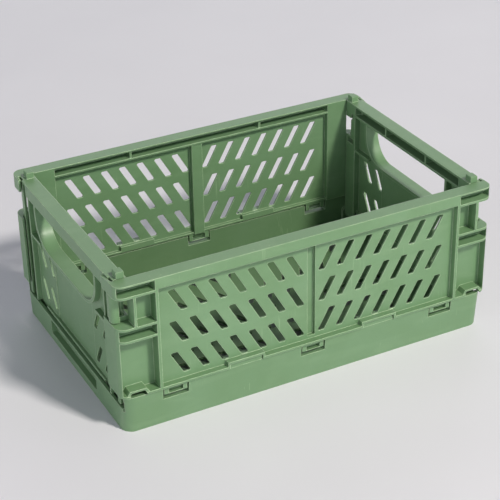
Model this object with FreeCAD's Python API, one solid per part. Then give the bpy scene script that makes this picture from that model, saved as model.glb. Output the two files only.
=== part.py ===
import FreeCAD, Part
import math
import os

# Collapsible storage crate with four folding walls on a shallow base tray.
# Millimetres, +Z up, X along the crate, Y across it.  The origin is the middle
# of the footprint, on the ground.  Every wall is drawn once, on the +Y or the
# +X side, and turned half a turn about Z for the other side.

V = FreeCAD.Vector
X_AXIS, Y_AXIS, Z_AXIS = V(1, 0, 0), V(0, 1, 0), V(0, 0, 1)
ORIGIN = V(0, 0, 0)

# Overall size
LENGTH = 250.0                  # over the two ends of the long walls
WIDTH = 165.0                   # over the two rims
RIM_TOP = 99.5                  # top of the rims above the ground
HALF_L, HALF_W = LENGTH / 2, WIDTH / 2
SKIN = 1.5                      # thickness of ribs, flanges and rims
RIM_SKIN = 1.0                  # thickness of the top flanges
PANEL = 1.2                     # thickness of the slotted panels

# Base tray
TRAY_X = 123.2                  # half length, upright ends
TRAY_Y_FOOT, TRAY_Y_TOP = 79.0, 81.4
TRAY_CORNER = 7.0
SIDE_TOP = 25.1                 # top of the long sides
END_TOP = 16.0                  # top of the ends
FLOOR_LOW, FLOOR_TOP = 4.5, 6.5
SKIRT = 2.0
SIDE_DEEP = 5.8                 # depth of the long sides, which are hollow from below
SIDE_LIP, SWING_Y = 0.6, 79.0   # a side is lower by the first, inboard of the second
CAVITY_X, CAVITY_TOP = 110.0, 23.0
PIN_WALL = 1.6                  # thickness of the notch ends that hold the pins

# Long wall hinges: three pins on each long side of the tray
LONG_PIN_Y, LONG_PIN_Z, LONG_PIN_R = 77.6, 22.2, 1.25
NOTCH_X = (-91.05, 0.0, 91.05)
NOTCH_W, NOTCH_FLOOR = 16.5, 17.6
LUG_W, LUG_LOW = 14.6, 19.8
LUG_Y = (75.0, 80.6)
RUNNING = 0.05                  # radial play of every pin in its eye

# Long wall
WALL_LOW = 25.6
PANEL_OUT = 78.3                # outer face of the slotted panel
PANEL_IN = PANEL_OUT - PANEL
WEB_IN = 73.2                   # inner face of the end blocks and of the rim shelf
WEB_OUT = WEB_IN + 1.6
RIM_IN = 73.2                   # inner edge of the top flange
FOOT_IN = 74.6                  # inner edge of the foot flange
BAND_LOW = 92.5                 # lower edge of the rim
BLOCK_X = 99.5                  # where the slotted panel ends and the end block starts
WRAP_Y = 62.2                   # the wall wraps this far round the end with the latch
WRAP_SHORT_Y = 69.0             # and this far round the other end
WRAP_R = 6.0
WRAP_FALL = (72.5, 0.14)        # from here inward its top edge falls by this slope
LEDGES = (62.6, 70.6, 91.0)     # undersides of the end block's ledges
POST_X = 113.1                  # small upright rib beside the latch

# Slots of the long wall: parallelograms that lean to the middle going down
SLOT_W, SLOT_H, SLOT_LEAN = 4.7, 14.6, 8.2
SLOT_PITCH_X, SLOT_PITCH_Z = 12.57, 20.95
SLOT_FIRST_X, SLOT_FIRST_Z = 92.6, 87.0
SLOT_COLUMNS, SLOT_ROWS = 7, 3
SLOT_CORNER = 0.9

# Latch tongues, one on each long wall, at its right end as seen from inside the
# crate.  Each is an angle that hangs beside the end wall's edge.
TONGUE_X = (120.4, 124.9)
TONGUE_Y = (68.6, WEB_OUT)
TONGUE_Z = (72.8, 90.6)
TONGUE_INSIDE = (123.5, 73.4)   # inner faces of the two legs
TONGUE_R, TONGUE_ROOT_R = 3.2, 0.9
TONGUE_ROOT_Y = 74.6

# End wall
END_PIN_X, END_PIN_Z, END_PIN_R = 118.0, 11.0, 3.0
END_PIN_Y = 75.8
END_IN, END_OUT = 114.2, 123.6  # inner and outer faces of the top bar
END_OUT_LAPPED = 123.2          # outer face where the long walls wrap over it
END_EDGE = 72.5                 # half width of the end wall
END_PANEL = (118.5, 119.6)      # faces of the slotted fields
END_MIDDLE = (118.0, 119.1)     # faces of the plain middle
END_POST_Y = 61.2               # the channel-shaped posts reach from here to the edge
END_RIB_Y = 58.9                # outside the panel their channel starts here
END_LIP = (69.2, 122.6)         # inner edge and outer face of the post's outer lip
END_LOW = 17.2                  # lower edge between the hinges
HANDLE_HALF, HANDLE_LOW, HANDLE_R = 46.5, 66.5, 18.0
HANDLE_LIP = 2.0
KNUCKLE_Y = 46.0                # the hinge knuckles start here
SHELF_Z = 64.5


def box(x, y, z):
    """A block between two values along each axis."""
    (x0, x1), (y0, y1), (z0, z1) = sorted(x), sorted(y), sorted(z)
    return Part.makeBox(x1 - x0, y1 - y0, z1 - z0, V(x0, y0, z0))


def prism(points, sweep):
    """A straight-sided solid from the corners of one face and a sweep vector."""
    corners = [V(*p) for p in points]
    return Part.Face(Part.makePolygon(corners + corners[:1])).extrude(sweep)


def rod_x(x, y, z, radius):
    return Part.makeCylinder(radius, x[1] - x[0], V(x[0], y, z), X_AXIS)


def rod_y(x, y, z, radius):
    return Part.makeCylinder(radius, y[1] - y[0], V(x, y[0], z), Y_AXIS)


def mirror_x(shape):
    return shape.mirror(ORIGIN, X_AXIS)


def mirror_y(shape):
    return shape.mirror(ORIGIN, Y_AXIS)


def both_x(shapes):
    return shapes + [mirror_x(s) for s in shapes]


def both_y(shapes):
    return shapes + [mirror_y(s) for s in shapes]


def half_turn(shape):
    turned = shape.copy()
    turned.rotate(ORIGIN, Z_AXIS, 180)
    return turned


def join(shapes):
    return shapes[0].fuse(shapes[1:]).removeSplitter()


def cut(shape, tools):
    return shape.cut(tools).removeSplitter()


def round_edges(shape, radius, chosen):
    """Fillet the edges that the test picks out."""
    return shape.makeFillet(radius, [e for e in shape.Edges if chosen(e)])


def runs_along(edge, axis):
    """True for a straight edge that lies along an axis."""
    if not isinstance(edge.Curve, (Part.Line, Part.LineSegment)):
        return False
    return edge.tangentAt(edge.FirstParameter).cross(axis).Length < 1e-6


def slanted_slot(top, low, width, lean, across, through, corner):
    """A parallelogram cutter.  It starts at its upper outer corner, leans by
    lean on the way down to low, and runs through the wall along through."""
    down = V(0, 0, low - top.z) + across * lean
    side = across * width
    face = [top, top + side, top + side + down, top + down]
    solid = prism([tuple(p) for p in face], through)
    return round_edges(solid, corner, lambda e: runs_along(e, through))


# ------------------------------------------------------------------ long wall

def long_wall_slots():
    cutters = []
    for column in range(SLOT_COLUMNS):
        for row in range(SLOT_ROWS):
            top = V(SLOT_FIRST_X - column * SLOT_PITCH_X, PANEL_IN - 1,
                    SLOT_FIRST_Z - row * SLOT_PITCH_Z)
            cutters.append(slanted_slot(top, top.z - SLOT_H, SLOT_W, SLOT_LEAN,
                                        V(-1, 0, 0), V(0, PANEL + 2, 0), SLOT_CORNER))
    return both_x(cutters)


def long_rim():
    """C-channel that is open to the inside, with two dividers."""
    reach = (-BLOCK_X - 1, BLOCK_X + 1)
    shelf_top = BAND_LOW + 1.3
    divider_x = 47.0
    parts = [
        box(reach, (RIM_IN, HALF_W), (RIM_TOP - RIM_SKIN, RIM_TOP)),
        box(reach, (HALF_W - SKIN, HALF_W), (BAND_LOW, RIM_TOP)),
        box(reach, (WEB_IN, HALF_W), (BAND_LOW, shelf_top)),
    ]
    for x in (-divider_x, divider_x):
        parts.append(box((x - 0.7, x + 0.7), (WEB_IN + 0.6, HALF_W - 1), (BAND_LOW, RIM_TOP - 0.6)))
    return parts


def long_panel():
    """Slotted panel with a pressed-in upright groove in the middle."""
    groove_half, groove_out = 2.6, 76.0
    groove_z = (29.0, 91.0)
    sheet = box((-BLOCK_X - 1, BLOCK_X + 1), (PANEL_IN, PANEL_OUT), (WALL_LOW, BAND_LOW + 1))
    band = box((-3.8, 3.8), (WEB_IN + 0.4, PANEL_OUT), (WALL_LOW, BAND_LOW + 1))
    groove = box((-groove_half, groove_half), (groove_out, HALF_W), groove_z)
    return cut(join([sheet, band]), [groove] + long_wall_slots())


def long_foot():
    """Flange along the foot, stepped up twice to clear the tabs of the tray."""
    step_x, step_up = (33.4, 57.6), 3.0
    deep = (FOOT_IN, HALF_W)
    top = WALL_LOW + 1.4
    flange = box((-BLOCK_X - 1, BLOCK_X + 1), deep, (WALL_LOW, top))
    bridge = box(step_x, deep, (WALL_LOW, top + step_up))
    under = box((step_x[0] + 1.2, step_x[1] - 1.2), (PANEL_OUT, HALF_W + 1),
                (WALL_LOW - 1, WALL_LOW + step_up))
    return cut(join([flange] + both_x([bridge])), both_x([under]))


def corner_outline(wrap, z0, z1):
    """Solid over the plan of the end block, wrapped round the crate's end."""
    a = V(BLOCK_X, WEB_IN, z0)
    b = V(BLOCK_X, HALF_W, z0)
    c = V(HALF_L - WRAP_R, HALF_W, z0)
    slant = WRAP_R * math.sqrt(0.5)
    d = V(HALF_L - WRAP_R + slant, HALF_W - WRAP_R + slant, z0)
    e = V(HALF_L, HALF_W - WRAP_R, z0)
    f = V(HALF_L, wrap, z0)
    g = V(HALF_L - SKIN, wrap, z0)
    h = V(HALF_L - SKIN, WEB_IN, z0)
    edges = [Part.makeLine(a, b), Part.makeLine(b, c), Part.Arc(c, d, e).toShape(),
             Part.makeLine(e, f), Part.makeLine(f, g), Part.makeLine(g, h), Part.makeLine(h, a)]
    return Part.Face(Part.Wire(edges)).extrude(V(0, 0, z1 - z0))


def end_block(wrap):
    """Open-fronted box at the wall's +X end: a web at the back, an upright rib,
    ledges, and the wrap round the crate's end, cut away where a latch can hang."""
    solid = corner_outline(wrap, WALL_LOW, RIM_TOP)
    rib = BLOCK_X + SKIN + 0.3
    front = (WEB_OUT, HALF_W + 5)
    across = (rib, HALF_L - SKIN)
    low_ledge, mid_ledge, top_ledge = LEDGES
    pockets = [
        box(across, front, (WALL_LOW + 1.4, low_ledge)),
        box(across, front, (low_ledge + SKIN, mid_ledge)),
        box((rib, POST_X), front, (mid_ledge + SKIN, top_ledge)),
        box(across, front, (top_ledge + SKIN, RIM_TOP - RIM_SKIN)),
        box((POST_X + SKIN, HALF_L + 5), (WRAP_Y - 5, HALF_W + 5), (mid_ledge + SKIN, top_ledge)),
    ]
    hollow = cut(solid, pockets + [wrap_top_cut(wrap)])
    return join([hollow, end_block_step()])


def wrap_top_cut(wrap):
    """Wedge off the wrap's top edge, so that the two folded walls pass each other."""
    start, slope = WRAP_FALL
    x, stop, top = HALF_L - SKIN, wrap - 1, RIM_TOP + 1
    points = [(x, start, top), (x, start, RIM_TOP), (x, stop, RIM_TOP - (start - stop) * slope),
              (x, stop, top)]
    return prism(points, V(SKIN + 1, 0, 0))


def end_block_step():
    """Raised, hollow step in the block's foot, with sloped ends."""
    low, high = WALL_LOW + 0.7, WALL_LOW + 4.2
    points = [(107.4, WEB_OUT - 0.5, low), (109.6, WEB_OUT - 0.5, high),
              (119.8, WEB_OUT - 0.5, high), (122.0, WEB_OUT - 0.5, low)]
    return prism(points, V(0, HALF_W - WEB_OUT - 0.2, 0))


def end_block_undercut():
    """Space under the raised step."""
    x0, x1, y0 = 109.2, 120.2, WEB_OUT
    low, high = WALL_LOW - 1, WALL_LOW + 2.9
    points = [(x0, y0, low), (x0, y0, WALL_LOW), (x0 + 1.2, y0, high),
              (x1 - 1.2, y0, high), (x1, y0, WALL_LOW), (x1, y0, low)]
    return prism(points, V(0, HALF_W - y0 + 1, 0))


def long_lug(x):
    """Hinge eye below the wall's foot: two cheeks round the tray's pin with a
    window between them."""
    half = LUG_W / 2
    body = box((x - half, x + half), LUG_Y, (LUG_LOW, WALL_LOW + 1))
    body = round_edges(body, 0.8, lambda e: runs_along(e, X_AXIS)
                       and e.CenterOfMass.z < LUG_LOW + 1)
    window = box((x - 4.8, x + 4.4), (LUG_Y[0] - 1, HALF_W), (LUG_LOW + 0.8, 24.0))
    eye = rod_x((x - half - 1, x + half + 1), LONG_PIN_Y, LONG_PIN_Z, LONG_PIN_R + RUNNING)
    return cut(body, [window, eye])


def long_wall():
    """The wall on the +Y side, with its latch at the +X end."""
    root_socket = rod_x((TONGUE_X[0], TONGUE_X[1] - 0.3), TONGUE_ROOT_Y, TONGUE_Z[1],
                        TONGUE_ROOT_R + RUNNING)
    parts = long_rim() + [long_panel(), long_foot()]
    parts += [end_block(WRAP_Y), mirror_x(end_block(WRAP_SHORT_Y))]
    parts += [long_lug(x) for x in NOTCH_X]
    return cut(join(parts), both_x([end_block_undercut()]) + [root_socket])


# -------------------------------------------------------------- latch tongues

def latch_tongue():
    """Springy tongue at the +X +Y corner.  Its rounded root lies in a groove of
    the ledge above, a small hook stands on its free edge."""
    (x0, x1), (y0, _), (z0, z1) = TONGUE_X, TONGUE_Y, TONGUE_Z
    leg_x, leg_y = TONGUE_INSIDE
    body = box(TONGUE_X, TONGUE_Y, TONGUE_Z)
    body = round_edges(body, TONGUE_R, lambda e: runs_along(e, Z_AXIS)
                       and e.CenterOfMass.x > x1 - 0.1 and e.CenterOfMass.y > leg_y)
    inside = box((x0 - 1, leg_x), (y0 - 1, leg_y), (z0 - 1, z1 + 1))
    seam = box((x1 - 0.5, x1 + 1), (y0 + 1.0, y0 + 1.4), (z0 - 1, z1 - 1.5))
    tip = box((x0 - 1, x1 + 1), (y0 - 1, y0 + 1.0), (z0 - 1, z0 + 2.2))
    root = rod_x((x0 + 0.3, x1 - 0.6), TONGUE_ROOT_Y, z1, TONGUE_ROOT_R)
    hook = box((x1 - 0.6, x1 + 0.1), (y0 + 0.9, y0 + 1.5), (80.6, 82.4))
    return join([cut(body, [inside, seam, tip]), root, hook])


# ------------------------------------------------------------------- end wall

def handle_prism(grow, x):
    """The handle's opening, grown by grow, as a solid along X."""
    half, low, radius = HANDLE_HALF + grow, HANDLE_LOW - grow, HANDLE_R + grow
    solid = box(x, (-half, half), (low, LEDGES[2] + 0.6))
    return round_edges(solid, radius, lambda e: runs_along(e, X_AXIS)
                       and e.CenterOfMass.z < low + 1)


def end_bar():
    """Top bar: C-channel open to the inside, with dividers."""
    full, lapped = (END_IN, END_OUT), (END_IN, END_OUT_LAPPED)
    low = LEDGES[2]
    middle = (-WRAP_Y + 0.6, WRAP_Y - 0.6)
    to_posts = (-END_RIB_Y - 1, END_RIB_Y + 1)
    parts = [
        box(full, middle, (RIM_TOP - SKIN, RIM_TOP)),
        box((END_OUT - SKIN, END_OUT), middle, (low, RIM_TOP)),
        box(full, middle, (low, low + SKIN)),
        box(lapped, (-END_EDGE, END_EDGE), (RIM_TOP - SKIN, RIM_TOP)),
        box((END_OUT_LAPPED - SKIN, END_OUT_LAPPED), to_posts, (low, RIM_TOP)),
    ]
    for y in (-23.5, 23.5):
        parts.append(box((END_IN + 0.5, END_OUT - 1), (y - 0.6, y + 0.6), (low, RIM_TOP - 1)))
    return parts


def end_post():
    """Post along the +Y edge, a channel open to the outside, and the shelf that
    runs from the handle into it."""
    top = RIM_TOP - 0.5
    low = END_LOW
    hinge_top = END_PIN_Z + 1.5
    lip_y, lip_x = END_LIP
    return [
        box((END_IN, END_IN + SKIN), (END_POST_Y, END_EDGE), (hinge_top, top)),
        box((END_IN, END_PANEL[1]), (END_POST_Y, END_POST_Y + 1.4), (low, top)),
        box((END_PANEL[0], END_OUT_LAPPED), (END_RIB_Y, END_RIB_Y + 1.4), (low, top)),
        box((END_IN, lip_x), (END_EDGE - 1.4, END_EDGE), (low, top)),
        box((lip_x - 1.4, lip_x), (lip_y, END_EDGE), (low, top)),
        box((END_IN + 0.4, END_OUT_LAPPED), (44.0, END_RIB_Y + 1), (SHELF_Z, SHELF_Z + SKIN)),
        box((END_IN + 0.4, END_PANEL[1]), (END_RIB_Y, END_EDGE - 1), (SHELF_Z, SHELF_Z + SKIN)),
    ]


def end_post_windows():
    """Openings in the post's inner face: the latch window, the hole beneath it
    and the slot above it."""
    face = (END_IN - 1, END_IN + 2)
    return [
        box((END_IN - 1, END_PANEL[1] + 0.6), (66.2, END_EDGE + 1), (75.0, 88.4)),
        box(face, (63.0, END_EDGE - 1.4), (69.4, 73.4)),
        box(face, (63.6, 66.4), (87.4, 91.8)),
    ]


def end_panel():
    """Lower panel with two slotted fields and a plain middle."""
    field = (30.0, END_POST_Y + 0.5)
    top = LEDGES[2] + 1
    parts = [box(END_MIDDLE, (-field[0] - 1, field[0] + 1), (END_LOW, top))]
    parts += both_y([
        box(END_PANEL, field, (END_LOW, top)),
        box((END_MIDDLE[0] - 1, END_PANEL[1]), (KNUCKLE_Y, END_EDGE), (END_PIN_Z, END_LOW + 1)),
    ])
    foot = box((END_IN + 1.5, 121.4), (-KNUCKLE_Y - 1, KNUCKLE_Y + 1), (END_LOW, END_LOW + SKIN))
    return parts + [foot]


def end_slots():
    cutters = []
    for top_y in (55.8, 42.4):
        for top_z in (59.5, 36.0):
            cutters.append(slanted_slot(V(END_IN, top_y, top_z), top_z - 13.5, 4.6, 7.4,
                                        V(0, -1, 0), V(10, 0, 0), SLOT_CORNER))
    return both_y(cutters)


def stacking_lug():
    """Lug on top of the bar that locates the crate stacked above."""
    block = box((115.2, 120.0), (66.9, END_EDGE), (RIM_TOP - 0.5, RIM_TOP + 4.0))
    return round_edges(block, 0.5, lambda e: e.CenterOfMass.z > RIM_TOP + 3.9)


def end_wall():
    """The wall on the +X side."""
    knuckle = rod_y(END_PIN_X, (KNUCKLE_Y, END_EDGE), END_PIN_Z, END_PIN_R)
    pin = rod_y(END_PIN_X, (END_EDGE - 1, END_PIN_Y), END_PIN_Z, END_PIN_R)
    lip = handle_prism(HANDLE_LIP, (END_IN, END_OUT))
    parts = end_bar() + end_panel() + [lip]
    parts += both_y(end_post() + [knuckle, pin, stacking_lug()])
    opening = handle_prism(0.0, (END_IN - 5, END_OUT + 5))
    opening = opening.cut(box((END_IN - 6, END_OUT + 6), (-60, 60), (LEDGES[2], RIM_TOP)))
    top_slot = box((END_OUT_LAPPED - 1.2, END_OUT_LAPPED + 1), (67.6, END_EDGE + 1),
                   (RIM_TOP - SKIN - 0.5, RIM_TOP + 1))
    return cut(join(parts), [opening] + both_y([top_slot] + end_post_windows()) + end_slots())


# ------------------------------------------------------------------ base tray

def side_y(z):
    """Outer face of the long side at a height: the sides lean out."""
    return TRAY_Y_FOOT + (TRAY_Y_TOP - TRAY_Y_FOOT) * z / SIDE_TOP


def tray_solid(inset, z0, z1):
    """Tray outline with rounded corners, its long sides leaning out."""
    def outline(z):
        half_y = side_y(z) - inset
        half_x = TRAY_X - inset
        flat = box((-half_x, half_x), (-half_y, half_y), (z, z + 1))
        rounded = round_edges(flat, TRAY_CORNER - inset, lambda e: runs_along(e, Z_AXIS))
        faces = sorted(rounded.Faces, key=lambda f: f.CenterOfMass.z)
        return faces[0].OuterWire
    return Part.makeLoft([outline(z0), outline(z1)], True, True)


def leaning_bar(x, inner, outer, z):
    """Bar along the crate whose long faces follow the lean of the sides; inner
    and outer are distances in from the side's outer face."""
    (x0, x1), (z0, z1) = x, z
    corners = [(x0, side_y(z0) - inner, z0), (x0, side_y(z0) - outer, z0),
               (x0, side_y(z1) - outer, z1), (x0, side_y(z1) - inner, z1)]
    return prism(corners, V(x1 - x0, 0, 0))


def tray_floor_slots():
    """Slanted slots in the floor, mirrored about the middle like the walls."""
    cutters = []
    slot_y, lean, width = 25.0, 12.0, 5.0
    for column in range(7):
        for row in range(4):
            x = 98.0 - column * 13.6
            y = 62.0 - row * 33.0
            corners = [(x, y, 0), (x - width, y, 0), (x - width - lean, y - slot_y, 0),
                       (x - lean, y - slot_y, 0)]
            solid = prism(corners, V(0, 0, FLOOR_TOP + 1))
            cutters.append(round_edges(solid, 1.2, lambda e: runs_along(e, Z_AXIS)))
    return both_x(cutters)


def tray_cavities():
    """Hollow of the +Y side, open below, with solid blocks round the notches."""
    inner, outer = SIDE_DEEP - SKIN, SKIRT
    block = NOTCH_W / 2 + PIN_WALL
    cuts = [leaning_bar((-CAVITY_X, CAVITY_X), inner, outer, (-1.0, NOTCH_FLOOR - SKIN))]
    for x in both_ends((block, NOTCH_X[2] - block)) + both_ends((NOTCH_X[2] + block, CAVITY_X)):
        cuts.append(leaning_bar(x, inner, outer, (-1.0, CAVITY_TOP)))
    return cuts


def both_ends(span):
    """A span on the +X side and its mirror image."""
    return [span, (-span[1], -span[0])]


def tray_shell():
    outer = tray_solid(0.0, 0.0, SIDE_TOP)
    length = TRAY_X - SKIRT
    half = leaning_bar((-length, length), SIDE_DEEP, TRAY_Y_TOP, (FLOOR_TOP, SIDE_TOP + 1))
    under = tray_solid(SKIRT, -1.0, FLOOR_LOW)
    swing = box((-TRAY_X - 1, TRAY_X + 1), (-SWING_Y, SWING_Y), (SIDE_TOP - SIDE_LIP, SIDE_TOP + 1))
    return cut(outer, both_y([half] + tray_cavities()) + [under, swing] + tray_floor_slots())


def tray_ribs():
    """Stiffening ribs under the floor, between the rows of slots."""
    z = (1.8, FLOOR_LOW + 0.5)
    ribs = [box((-TRAY_X + 1, TRAY_X - 1), (y - 0.7, y + 0.7), z) for y in (-33.0, 0.0, 33.0)]
    ribs += [box((x - 0.7, x + 0.7), (-TRAY_Y_FOOT + 1, TRAY_Y_FOOT - 1), z) for x in (-104, 0, 104)]
    return ribs


def tray_end_cuts():
    """Lower the +X end between its corners, and slit the corners."""
    low = box((117.0, TRAY_X + 5), (-75.9, 75.9), (END_TOP, SIDE_TOP + 5))
    slit = box((TRAY_X - 4.0, TRAY_X + 5), (75.9, 77.2), (14.0, SIDE_TOP + 5))
    return [low] + both_y([slit])


def tray_finger_recess():
    """Recess for the fingers in the tray's +X end: the inner box and its cutter."""
    half, z = 37.0, (5.0, 14.6)
    depth = 4.0
    inner = box((TRAY_X - depth - 1.5, TRAY_X - 1), (-half - 1.5, half + 1.5), (FLOOR_LOW, END_TOP))
    cutter = box((TRAY_X - depth, TRAY_X + 5), (-half, half), z)
    cutter = round_edges(cutter, 2.0, lambda e: runs_along(e, X_AXIS))
    return inner, cutter


def tray_end_cheek():
    """Cheek with the eye for the end wall's pin, at the +X +Y corner."""
    cheek = box((112.6, TRAY_X - 1), (END_EDGE + 0.4, 75.6), (FLOOR_LOW, END_TOP))
    return round_edges(cheek, 3.0, lambda e: runs_along(e, Y_AXIS)
                       and e.CenterOfMass.z > END_TOP - 1 and e.CenterOfMass.x < 113)


def base_tray():
    recess_box, recess_cut = tray_finger_recess()
    tab = box((35.0, 56.0), (LUG_Y[1] - 1.3, 81.2), (SIDE_TOP - 1, 28.2))
    solids = [tray_shell()] + tray_ribs()
    solids += both_x([recess_box] + both_y([tray_end_cheek(), tab]))
    eye = rod_y(END_PIN_X, (END_EDGE - 1, END_PIN_Y + 0.4), END_PIN_Z, END_PIN_R + RUNNING)
    cuts = both_x(tray_end_cuts() + [recess_cut] + both_y([eye]))
    pins = []
    half = NOTCH_W / 2
    for x in NOTCH_X:
        cuts += both_y([box((x - half, x + half), (LUG_Y[0] - 3, HALF_W), (NOTCH_FLOOR, SIDE_TOP + 5))])
        pins += both_y([rod_x((x - half - 1, x + half + 1), LONG_PIN_Y, LONG_PIN_Z, LONG_PIN_R)])
    return join([cut(join(solids), cuts)] + pins)


# --------------------------------------------------------------------- export

def main():
    back = long_wall()
    right = end_wall()
    latch = latch_tongue()
    nodes = {
        "base_tray": base_tray(),
        "back_wall": back,
        "front_wall": half_turn(back),
        "right_end_wall": right,
        "left_end_wall": half_turn(right),
        "back_right_latch": latch,
        "front_left_latch": half_turn(latch),
    }
    os.makedirs("parts", exist_ok=True)
    for name, shape in nodes.items():
        solids = shape.Solids
        print(name, "solids", len(solids), "valid", shape.isValid(), "volume", round(shape.Volume))
        (solids[0] if len(solids) == 1 else shape).exportStep(f"parts/{name}.step")


main()
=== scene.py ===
import math

import bpy
from mathutils import Matrix, Vector

# Looks for the collapsible storage crate: satin sage-green moulded plastic on a
# pale floor.  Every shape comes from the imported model; this script adds the
# materials, the lights and the camera.  Metres, in the frame's own axes.

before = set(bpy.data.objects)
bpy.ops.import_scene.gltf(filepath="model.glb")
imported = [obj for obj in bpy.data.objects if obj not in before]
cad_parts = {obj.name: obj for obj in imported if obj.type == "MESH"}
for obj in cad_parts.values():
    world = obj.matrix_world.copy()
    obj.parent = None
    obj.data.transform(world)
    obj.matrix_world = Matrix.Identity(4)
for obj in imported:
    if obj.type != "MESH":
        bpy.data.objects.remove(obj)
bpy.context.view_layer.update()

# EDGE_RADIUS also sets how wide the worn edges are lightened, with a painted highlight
EDGE_RADIUS = 0.0007             # shaded rounding of the moulded edges
CORNER_REACH = 0.007             # how near faces meet for dust and painted shade to gather between them
ROUGHNESS = 0.43
PLASTIC_IOR = 1.49
SKIN_GLOSS, SKIN_ROUGHNESS = 0.06, 0.25     # the thin glossy skin of a moulding

# Plastic colours, linear RGB
SAGE = (0.167, 0.290, 0.152)
SAGE_DEEP = (0.147, 0.265, 0.127)
# Pale sage for flow marks and scuffs, and for worn edges with a painted highlight
SAGE_PALE_AND_HIGHLIGHT = (0.540, 0.700, 0.450)
# Dark sage for specks and dust, and for painted shade in corners and inside the tray
SAGE_DIRT_AND_SHADE = (0.050, 0.104, 0.036)
SAGE_COLOURS = (SAGE, SAGE_DEEP, SAGE_PALE_AND_HIGHLIGHT, SAGE_DIRT_AND_SHADE)

# How light each moulding came out; the latches take the last
MOULDING_GAIN = {"base_tray": 0.97, "front_wall": 1.0, "back_wall": 0.99,
                 "left_end_wall": 0.98, "right_end_wall": 1.0}
OTHER_GAIN = 1.03

# The part of the tray that carries the load, and how much painted shade darkens it
TRAY_INSIDE = (0.1168, 0.0768)
TRAY_FLOOR = 0.0012
TRAY_PAINTED_SHADE = 0.34

# Studio: the floor's two tones, the lights, and the glow round the horizon
FLOOR_TONES = ((0.765, 0.745, 0.805), (0.805, 0.785, 0.845))
FLOOR_ROUGHNESS = 0.62
LIGHTS = (                       # name, direction, distance, size, power, colour
    ("key", (0.41, -1.0, 1.15), 3.4, 0.40, 94.0, (1.0, 0.97, 0.88)),
    ("side_card", (-1.0, -0.05, 0.22), 2.4, 1.8, 13.0, (0.96, 0.98, 1.0)),
    ("front_card", (-0.15, -1.0, 0.20), 2.6, 1.6, 13.0, (0.90, 0.96, 1.0)),
    ("back_card", (0.45, 1.0, 0.42), 2.6, 2.2, 13.0, (0.96, 0.98, 1.0)),
)
SKY_TINT = (0.87, 0.92, 1.0, 1.0)
HORIZON_GLOW, CEILING_GLOW = 0.72, 0.05

# Camera: the direction it looks from, its roll and its lens
CAMERA_AZIMUTH = math.radians(-27.24)
CAMERA_ELEVATION = math.radians(29.52)
CAMERA_ROLL = math.radians(-1.05)
CAMERA_DISTANCE = 0.9906
CAMERA_TARGET = Vector((0.0195, 0.0375, 0.025))
CAMERA_LENS = 106.96


# ------------------------------------------------------------- shader helpers

def add(tree, kind, settings=None, **inputs):
    """Adds a shader node.  An input that is a socket is linked, any other is set."""
    made = tree.nodes.new("ShaderNode" + kind)
    for name, value in (settings or {}).items():
        setattr(made, name, value)
    for name, value in inputs.items():
        plug(tree, made.inputs[name.replace("_", " ")], value)
    return made


def plug(tree, socket, value):
    if isinstance(value, bpy.types.NodeSocket):
        tree.links.new(value, socket)
    else:
        socket.default_value = value


def calc(tree, operation, a, b=0.0):
    made = tree.nodes.new("ShaderNodeMath")
    made.operation = operation
    plug(tree, made.inputs[0], a)
    plug(tree, made.inputs[1], b)
    return made.outputs[0]


def blend(tree, factor, a, b):
    """Mixes two colours; a factor of 0 gives a."""
    made = tree.nodes.new("ShaderNodeMix")
    made.data_type = "RGBA"
    colours = [s for s in made.inputs if s.type == "RGBA"]
    plug(tree, made.inputs[0], factor)
    for socket, value in zip(colours, (a, b)):
        plug(tree, socket, value if isinstance(value, bpy.types.NodeSocket) else (*value, 1.0))
    return next(s for s in made.outputs if s.type == "RGBA")


def span(tree, value, low, high, to_low=0.0, to_high=1.0):
    """Maps low..high to to_low..to_high, clamped."""
    made = add(tree, "MapRange", None, Value=value, From_Min=low, From_Max=high,
               To_Min=to_low, To_Max=to_high)
    return made.outputs["Result"]


def noise(tree, place, scale, detail=2.0, roughness=0.5, distortion=0.0):
    made = add(tree, "TexNoise", None, Vector=place, Scale=scale, Detail=detail,
               Roughness=roughness, Distortion=distortion)
    return made.outputs[0]


def stretched(tree, place, turn, squeeze):
    """Coordinates turned and squeezed, for marks that run in one direction."""
    made = add(tree, "Mapping", None, Vector=place)
    made.inputs["Rotation"].default_value = turn
    made.inputs["Scale"].default_value = squeeze
    return made.outputs[0]


# ------------------------------------------------------------------- plastic

def edge_mask(tree, rounded):
    """1 where the rounded normal leaves the face's own, 0 on flat faces."""
    true = add(tree, "NewGeometry").outputs["Normal"]
    dot = add(tree, "VectorMath", {"operation": "DOT_PRODUCT"})
    plug(tree, dot.inputs[0], rounded)
    plug(tree, dot.inputs[1], true)
    return span(tree, dot.outputs["Value"], 0.985, 0.82)


def scratch_mask(tree, place, turn, scale, threshold):
    """Short fine scuffs that run in one direction."""
    lines = noise(tree, stretched(tree, place, turn, (1.0, 1.0, 0.045)), scale, 2.0, 0.6)
    patches = noise(tree, place, 38.0, 1.0)
    fine = span(tree, lines, threshold, threshold + 0.05)
    return calc(tree, "MULTIPLY", fine, span(tree, patches, 0.50, 0.68))


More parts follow.
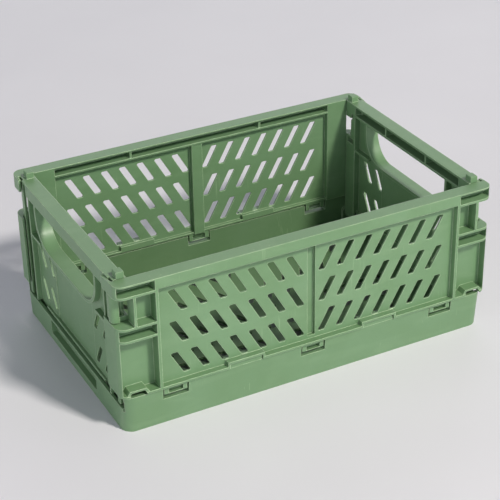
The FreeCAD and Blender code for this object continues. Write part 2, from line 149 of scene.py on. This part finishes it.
def moulded_plastic(name, seed, colours, painted_shade):
    """Satin polypropylene: cloudy pigment, flow marks, a fine spark-eroded grain,
    sink marks, light worn edges with a painted highlight, scuffs, and dust with painted
    shade where faces meet.  The last argument is how much painted shade darkens the tray's inside."""
    body, deep, pale_and_highlight, dirt_and_shade = colours
    material = bpy.data.materials.new(name)
    material.use_nodes = True
    tree = material.node_tree
    shader = tree.nodes["Principled BSDF"]
    raw = add(tree, "TexCoord").outputs["Object"]
    shift = add(tree, "VectorMath", {"operation": "ADD"})
    plug(tree, shift.inputs[0], raw)
    shift.inputs[1].default_value = (seed * 0.37, seed * 0.71, seed * 0.53)
    place = shift.outputs[0]

    clouds = noise(tree, place, 26.0, 3.0, 0.55, 0.4)
    streaks = stretched(tree, place, (0.2, 0.1, 0.5), (0.25, 1.0, 1.0))
    flow = noise(tree, streaks, 85.0, 2.0, 0.5, 0.8)
    specks = noise(tree, place, 1500.0, 1.0)
    grain = noise(tree, place, 2600.0, 2.0, 0.6)
    sink = noise(tree, place, 48.0, 1.0)
    rounded = add(tree, "Bevel", {"samples": 8}, Radius=EDGE_RADIUS).outputs[0]
    edges = edge_mask(tree, rounded)
    # Worn edges are lightened: partly wear, partly a painted highlight
    uneven_wear_and_highlight = span(tree, noise(tree, place, 170.0, 3.0, 0.6), 0.30, 0.62, 0.45, 1.0)
    wear_and_highlight = calc(tree, "MULTIPLY", edges, uneven_wear_and_highlight)
    # Dust with painted shade: darker where ambient occlusion finds faces close together
    openness = add(tree, "AmbientOcclusion", {"samples": 6}, Distance=CORNER_REACH).outputs["AO"]
    corner = span(tree, openness, 0.62, 0.18)
    uneven_dust_and_shade = span(tree, noise(tree, place, 120.0, 3.0), 0.30, 0.65, 0.35, 1.0)
    dust_and_shade = calc(tree, "MULTIPLY", corner, uneven_dust_and_shade)
    scuffs = calc(tree, "MAXIMUM",
                  scratch_mask(tree, place, (0.35, 1.15, 0.3), 520.0, 0.66),
                  scratch_mask(tree, place, (1.20, 0.25, 0.9), 640.0, 0.67))

    colour = blend(tree, span(tree, clouds, 0.32, 0.68), deep, body)
    colour = blend(tree, span(tree, flow, 0.50, 0.78, 0.0, 0.06), colour, pale_and_highlight)
    colour = blend(tree, span(tree, specks, 0.62, 0.80, 0.0, 0.14), colour, dirt_and_shade)
    # Painted shade: the inside of the tray is darkened toward the dark sage
    painted_inside_shade = calc(tree, "MULTIPLY", inside_mask(tree, raw, TRAY_INSIDE, TRAY_FLOOR), painted_shade)
    colour = blend(tree, painted_inside_shade, colour, dirt_and_shade)
    # Darken where faces meet, as dust and as painted shade
    colour = blend(tree, calc(tree, "MULTIPLY", dust_and_shade, 0.22), colour, dirt_and_shade)
    colour = blend(tree, calc(tree, "MULTIPLY", scuffs, 0.22), colour, pale_and_highlight)
    # Lighten the worn edges, which also paints a highlight on them
    colour = blend(tree, calc(tree, "MULTIPLY", wear_and_highlight, 0.92), colour, pale_and_highlight)
    tree.links.new(colour, shader.inputs["Base Color"])

    rough = span(tree, clouds, 0.3, 0.7, ROUGHNESS - 0.05, ROUGHNESS + 0.06)
    rough = calc(tree, "ADD", rough, span(tree, grain, 0.35, 0.65, -0.04, 0.04))
    rough = calc(tree, "ADD", rough, calc(tree, "MULTIPLY", dust_and_shade, 0.16))
    rough = calc(tree, "SUBTRACT", rough, calc(tree, "MULTIPLY", wear_and_highlight, 0.12))
    rough = calc(tree, "ADD", rough, calc(tree, "MULTIPLY", scuffs, 0.10))
    tree.links.new(rough, shader.inputs["Roughness"])

    shallow = add(tree, "Bump", None, Strength=0.06, Distance=0.00035, Height=sink,
                  Normal=rounded)
    textured = add(tree, "Bump", None, Strength=0.30, Distance=0.00003, Height=grain,
                   Normal=shallow.outputs[0])
    scored = add(tree, "Bump", {"invert": True}, Strength=0.25, Distance=0.00002, Height=scuffs,
                 Normal=textured.outputs[0])
    tree.links.new(scored.outputs[0], shader.inputs["Normal"])
    shader.inputs["IOR"].default_value = PLASTIC_IOR
    shader.inputs["Coat Weight"].default_value = SKIN_GLOSS
    shader.inputs["Coat Roughness"].default_value = SKIN_ROUGHNESS
    return material


def inside_mask(tree, raw, half_box, low):
    """1 within a box centred on the crate and above a height, 0 outside it."""
    part = add(tree, "SeparateXYZ", None, Vector=raw)
    mask = calc(tree, "GREATER_THAN", part.outputs["Z"], low)
    for axis, half in zip("XY", half_box):
        across = calc(tree, "LESS_THAN", calc(tree, "ABSOLUTE", part.outputs[axis]), half)
        mask = calc(tree, "MULTIPLY", mask, across)
    return mask


def tinted(colours, gain):
    """The same colours a little lighter or darker, as each moulding comes out."""
    return tuple(tuple(channel * gain for channel in colour) for colour in colours)


def dress_mouldings():
    for seed, (name, obj) in enumerate(sorted(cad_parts.items()), start=1):
        colours = tinted(SAGE_COLOURS, MOULDING_GAIN.get(name, OTHER_GAIN))
        # Only the tray gets painted shade on its inside
        painted_shade = TRAY_PAINTED_SHADE if name == "base_tray" else 0.0
        obj.data.materials.clear()
        obj.data.materials.append(moulded_plastic(name + "_plastic", seed, colours, painted_shade))


# -------------------------------------------------------------------- studio

def studio_floor():
    bpy.ops.mesh.primitive_plane_add(size=8, location=(0, 0, 0))
    floor = bpy.context.object
    floor.name = "studio_floor"
    material = bpy.data.materials.new("studio_floor")
    material.use_nodes = True
    tree = material.node_tree
    shader = tree.nodes["Principled BSDF"]
    place = add(tree, "TexCoord").outputs["Object"]
    clouds = noise(tree, place, 2.2, 4.0, 0.6)
    colour = blend(tree, span(tree, clouds, 0.35, 0.65), *FLOOR_TONES)
    tree.links.new(colour, shader.inputs["Base Color"])
    shader.inputs["Roughness"].default_value = FLOOR_ROUGHNESS
    floor.data.materials.append(material)


def area_light(name, direction, distance, size, power, colour):
    """A square soft box in a direction from the crate, facing it."""
    data = bpy.data.lights.new(name, "AREA")
    data.energy, data.size, data.color = power, size, colour
    lamp = bpy.data.objects.new(name, data)
    lamp.location = Vector(direction).normalized() * distance
    lamp.rotation_euler = (-lamp.location).to_track_quat("-Z", "Y").to_euler()
    bpy.context.scene.collection.objects.link(lamp)


def studio_lights():
    """A key from the front right, three cards for the other sides, and a bright
    horizon under a dim ceiling."""
    for light in LIGHTS:
        area_light(*light)
    bpy.context.scene.view_settings.view_transform = "Standard"
    world = bpy.data.worlds.new("studio")
    bpy.context.scene.world = world
    world.use_nodes = True
    tree = world.node_tree
    background = tree.nodes["Background"]
    height = add(tree, "SeparateXYZ", None, Vector=add(tree, "TexCoord").outputs["Generated"])
    glow = span(tree, height.outputs["Z"], 0.20, 0.75, HORIZON_GLOW, CEILING_GLOW)
    background.inputs["Color"].default_value = SKY_TINT
    tree.links.new(glow, background.inputs["Strength"])


def add_camera():
    back = Vector((math.sin(CAMERA_AZIMUTH) * math.cos(CAMERA_ELEVATION),
                   -math.cos(CAMERA_AZIMUTH) * math.cos(CAMERA_ELEVATION),
                   math.sin(CAMERA_ELEVATION)))
    right = Vector((0, 0, 1)).cross(back).normalized()
    up = back.cross(right)
    turn = Matrix.Rotation(CAMERA_ROLL, 4, "Z")
    place = Matrix((right, up, back)).transposed().to_4x4()
    data = bpy.data.cameras.new("camera")
    data.lens, data.sensor_width = CAMERA_LENS, 36.0
    camera = bpy.data.objects.new("camera", data)
    camera.matrix_world = Matrix.Translation(CAMERA_TARGET + back * CAMERA_DISTANCE) @ place @ turn
    bpy.context.scene.collection.objects.link(camera)
    bpy.context.scene.camera = camera


dress_mouldings()
studio_floor()
studio_lights()
add_camera()
